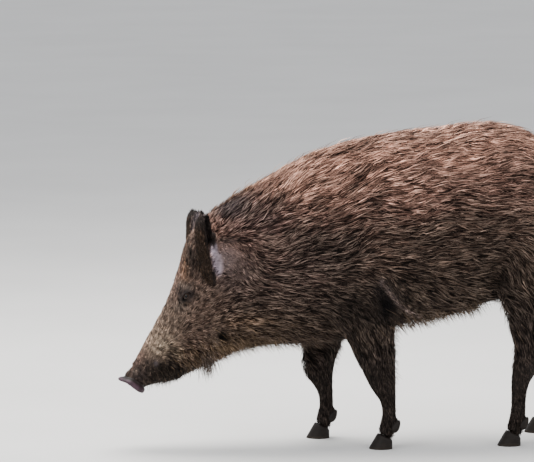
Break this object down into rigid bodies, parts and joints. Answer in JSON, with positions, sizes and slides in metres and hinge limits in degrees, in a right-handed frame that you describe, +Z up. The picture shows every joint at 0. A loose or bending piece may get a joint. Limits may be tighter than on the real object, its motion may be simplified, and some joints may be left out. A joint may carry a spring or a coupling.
{
  "type": "wild boar",
  "caption": "Wild boar walking slowly with its head lowered to feed, coarse brown coat, long snout, upright ears and cloven hooves.",
  "frame": {"origin": "on the floor, at the middle of the bounding box in X and Y", "axes": "+Z up; the animal faces -X; its left side is -Y and its right side is +Y"},
  "size_m": [1.169, 0.3272, 0.7785],
  "materials": {
    "coat": "coarse layered bristles, red-brown on the back, dark brown on the sides and near black on the legs",
    "snout": "bare grey-mauve snout skin, slightly moist",
    "eye": "wet dark brown eye",
    "hoof": "worn dark horn"
  },
  "bodies": {
    "root": {"belly": "coat", "chest": "coat", "ear_left": "coat", "ear_right": "coat", "eye_left": "eye", "eye_right": "eye", "foreleg_lower_left": "coat", "foreleg_lower_right": "coat", "foreleg_upper_left": "coat", "foreleg_upper_right": "coat", "head": "coat", "hindleg_lower_left": "coat", "hindleg_lower_right": "coat", "hindleg_upper_left": "coat", "hindleg_upper_right": "coat", "hoof_foreleg_left_left": "hoof", "hoof_foreleg_left_right": "hoof", "hoof_foreleg_right_left": "hoof", "hoof_foreleg_right_right": "hoof", "hoof_hindleg_left_left": "hoof", "hoof_hindleg_left_right": "hoof", "hoof_hindleg_right_left": "hoof", "hoof_hindleg_right_right": "hoof", "lower_jaw": "coat", "neck": "coat", "rump": "coat", "snout_disc": "snout", "tail": "coat"}
  },
  "joints": []
}
